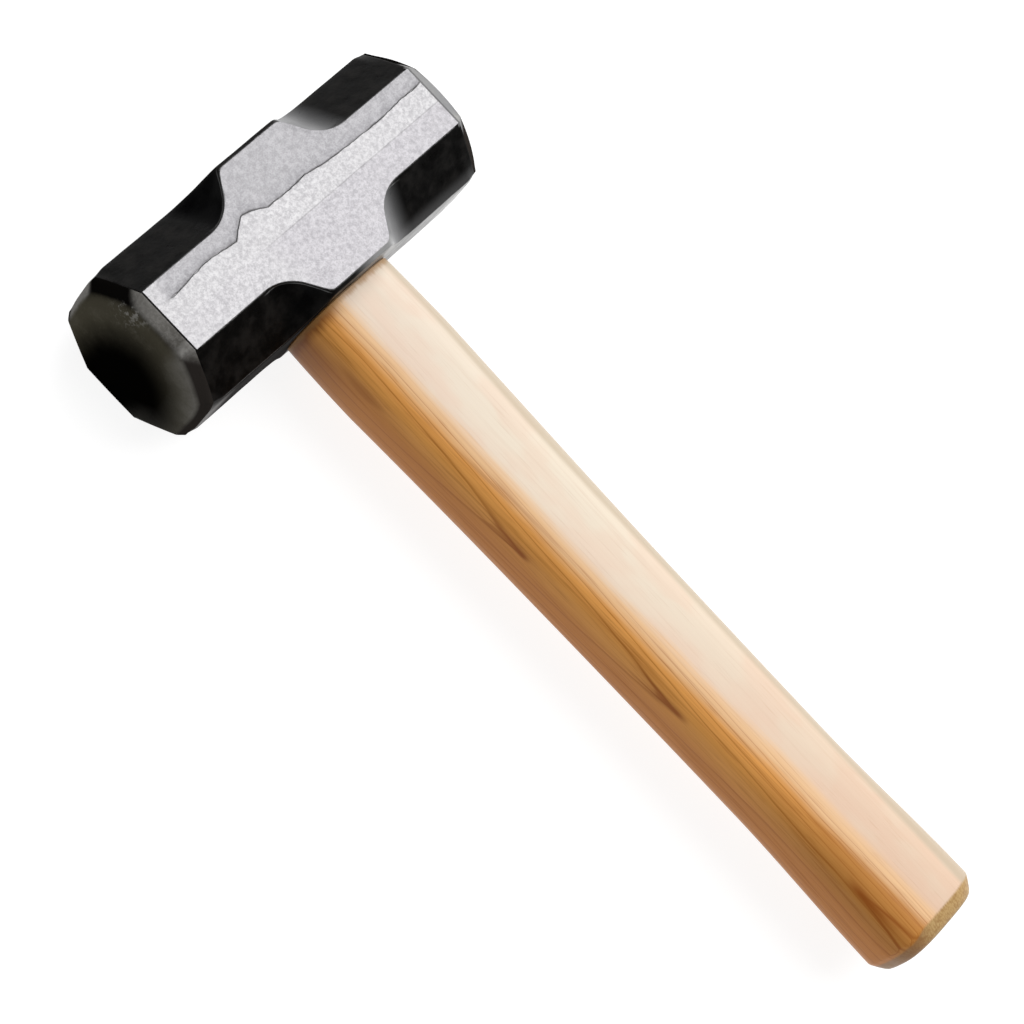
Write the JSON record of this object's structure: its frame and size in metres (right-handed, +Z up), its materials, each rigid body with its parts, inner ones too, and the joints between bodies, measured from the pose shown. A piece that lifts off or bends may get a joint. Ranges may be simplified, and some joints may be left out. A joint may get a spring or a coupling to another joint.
{
  "type": "lump hammer",
  "caption": "Short-handled lump hammer: forged steel head with octagonal ends and bare cheeks, on a straight wooden handle wedged in its eye.",
  "frame": {"origin": "centre of the lower cheek of the head, on the plane the hammer rests on when it lies on its side", "axes": "+X along the head from striking face to striking face, +Y along the handle's axis from the butt towards the top of the head, +Z up, out of the upper cheek"},
  "size_m": [0.1168, 0.2776, 0.046],
  "materials": {
    "head_steel": "satin",
    "handle_wood": "satin",
    "wedge_wood": "matte",
    "wedge_steel": "satin"
  },
  "bodies": {
    "root": {"head": "head_steel", "handle": "handle_wood", "wooden_wedge": "wedge_wood", "steel_wedge_1": "wedge_steel", "steel_wedge_2": "wedge_steel"}
  },
  "joints": []
}
